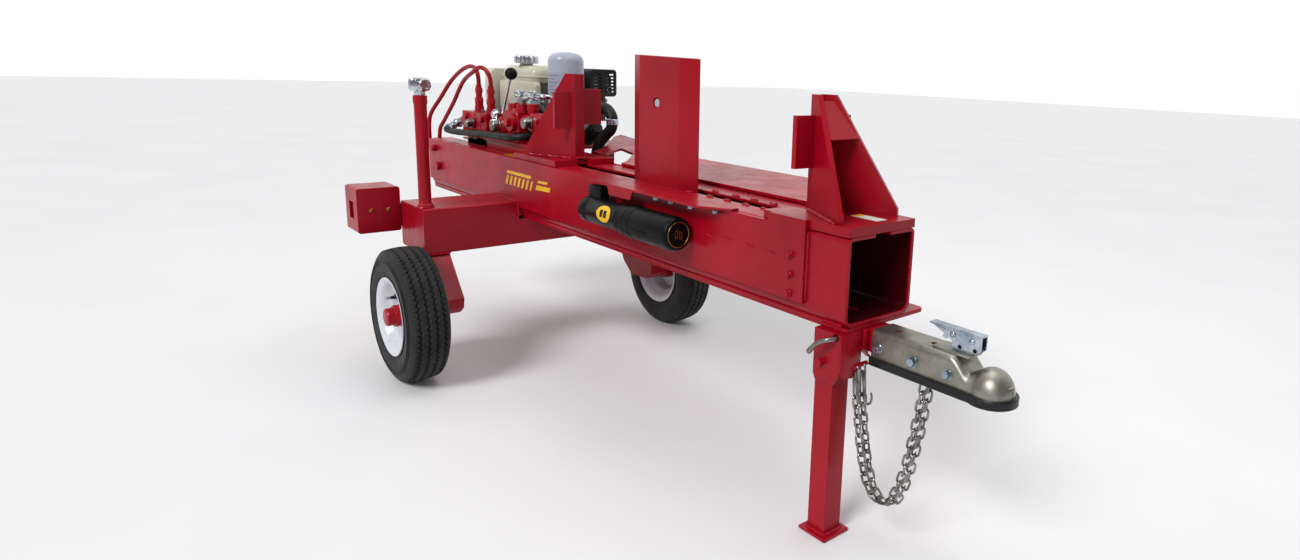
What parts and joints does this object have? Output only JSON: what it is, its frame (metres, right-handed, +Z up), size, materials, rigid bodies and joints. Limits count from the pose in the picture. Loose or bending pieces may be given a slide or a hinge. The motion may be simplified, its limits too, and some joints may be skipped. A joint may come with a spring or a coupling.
{
  "type": "log splitter",
  "caption": "Towable two-way log splitter: wedge on a ram-driven carriage in a slotted box beam between footplates, side table, engine, pump and oil tank over the axle, coupler and jack.",
  "frame": {"origin": "on the ground under the centre of the bounding box", "axes": "+X along the beam towards the tow coupler, +Y towards the side with the table and engine, +Z up"},
  "size_m": [2.6042, 1.112, 1.016],
  "materials": {
    "red_paint": "gloss powder coat",
    "black_paint": "satin",
    "white_paint": "gloss",
    "cream_paint": "gloss",
    "bright_steel": "ground and oiled",
    "zinc_plate": "bright zinc plate",
    "bare_steel": "dull zinc",
    "cast_alloy": "as cast",
    "hose_rubber": "matte",
    "tyre_rubber": "matte",
    "black_plastic": "matte",
    "red_lens": "gloss"
  },
  "bodies": {
    "frame": {"beam_channel": "red_paint", "beam_floor_plate": "red_paint", "side_plate_near": "red_paint", "side_plate_far": "red_paint", "front_footplate": "red_paint", "rear_footplate": "red_paint", "ram_barrel": "black_paint", "ram_gland": "bright_steel", "ram_anchor_pin": "red_paint", "log_table": "red_paint", "cross_tank": "red_paint", "filler_pipe": "red_paint", "axle_leg_near": "red_paint", "lamp_box_near": "red_paint", "lamp_lens_near": "red_lens", "axle_leg_far": "red_paint", "lamp_box_far": "red_paint", "lamp_lens_far": "red_lens", "canister_tube": "black_plastic", "canister_guard": "red_paint", "tongue": "red_paint", "coupler": "bare_steel", "jack_bracket": "red_paint", "safety_chain_near": "zinc_plate", "safety_chain_far": "zinc_plate", "control_valve": "red_paint", "return_manifold": "red_paint", "extend_line": "red_paint", "retract_line": "red_paint", "return_hose": "hose_rubber", "filter_head": "cast_alloy", "filter_can": "white_paint", "gear_pump": "black_paint", "suction_hose": "hose_rubber", "engine_mount": "red_paint", "engine_block": "cast_alloy", "fan_cover": "cream_paint", "fuel_tank": "cream_paint", "muffler_guard": "black_paint", "air_cleaner": "black_plastic"},
    "ram": {"ram_rod": "bright_steel", "wedge_carriage": "black_paint", "wedge": "red_paint", "wedge_pin": "bright_steel"},
    "lever": {"valve_lever": "zinc_plate", "valve_knob": "black_plastic"},
    "wheel_near": {"tyre_near": "tyre_rubber", "rim_near": "white_paint", "hub_near": "red_paint"},
    "wheel_far": {"tyre_far": "tyre_rubber", "rim_far": "white_paint", "hub_far": "red_paint"},
    "jack": {"jack_leg": "red_paint"},
    "lock_pin": {"jack_pin": "bright_steel"},
    "latch": {"coupler_latch": "zinc_plate"},
    "breather": {"breather_cap": "zinc_plate"},
    "tank_cap": {"fuel_cap": "zinc_plate"},
    "canister_lid": {"canister_cap": "black_plastic"},
    "starter_grip": {"recoil_handle": "black_plastic"},
    "throttle": {"throttle_lever": "black_plastic"}
  },
  "joints": [
    {"name": "ram_stroke", "type": "slide", "parent": "frame", "child": "ram", "axis": [1, 0, 0], "range_m": [-0.3, 0.4]},
    {"name": "lever_tilt", "type": "hinge", "parent": "frame", "child": "lever", "pos_m": [-0.762, -0.032, 0.776], "axis": [0, 1, 0], "range_deg": [-15, 15], "stiffness_Nm_per_rad": 12},
    {"name": "wheel_near_spin", "type": "hinge", "parent": "frame", "child": "wheel_near", "pos_m": [-0.451, -0.484, 0.207], "axis": [0, 1, 0], "continuous": true},
    {"name": "wheel_far_spin", "type": "hinge", "parent": "frame", "child": "wheel_far", "pos_m": [-0.451, 0.484, 0.207], "axis": [0, 1, 0], "continuous": true},
    {"name": "jack_fold", "type": "hinge", "parent": "frame", "child": "jack", "pos_m": [0.928, -0.081, 0.396], "axis": [0, 1, 0], "range_deg": [0, 90]},
    {"name": "lock_pin_pull", "type": "slide", "parent": "frame", "child": "lock_pin", "axis": [0, -1, 0], "range_m": [0, 0.07]},
    {"name": "latch_open", "type": "hinge", "parent": "frame", "child": "latch", "pos_m": [1.208, 0, 0.496], "axis": [0, 1, 0], "range_deg": [0, 75]},
    {"name": "breather_lift", "type": "slide", "parent": "frame", "child": "breather", "axis": [0, 0, 1], "range_m": [0, 0.05]},
    {"name": "tank_cap_lift", "type": "slide", "parent": "frame", "child": "tank_cap", "axis": [0, 0, 1], "range_m": [0, 0.04]},
    {"name": "canister_lid_pull", "type": "slide", "parent": "frame", "child": "canister_lid", "axis": [1, 0, 0], "range_m": [0, 0.09]},
    {"name": "starter_pull", "type": "slide", "parent": "frame", "child": "starter_grip", "axis": [-1, 0, 0], "range_m": [0, 0.45], "stiffness_N_per_m": 20},
    {"name": "throttle_swing", "type": "hinge", "parent": "frame", "child": "throttle", "pos_m": [-0.964, 0.126, 0.806], "axis": [0, 1, 0], "range_deg": [-25, 25]}
  ]
}
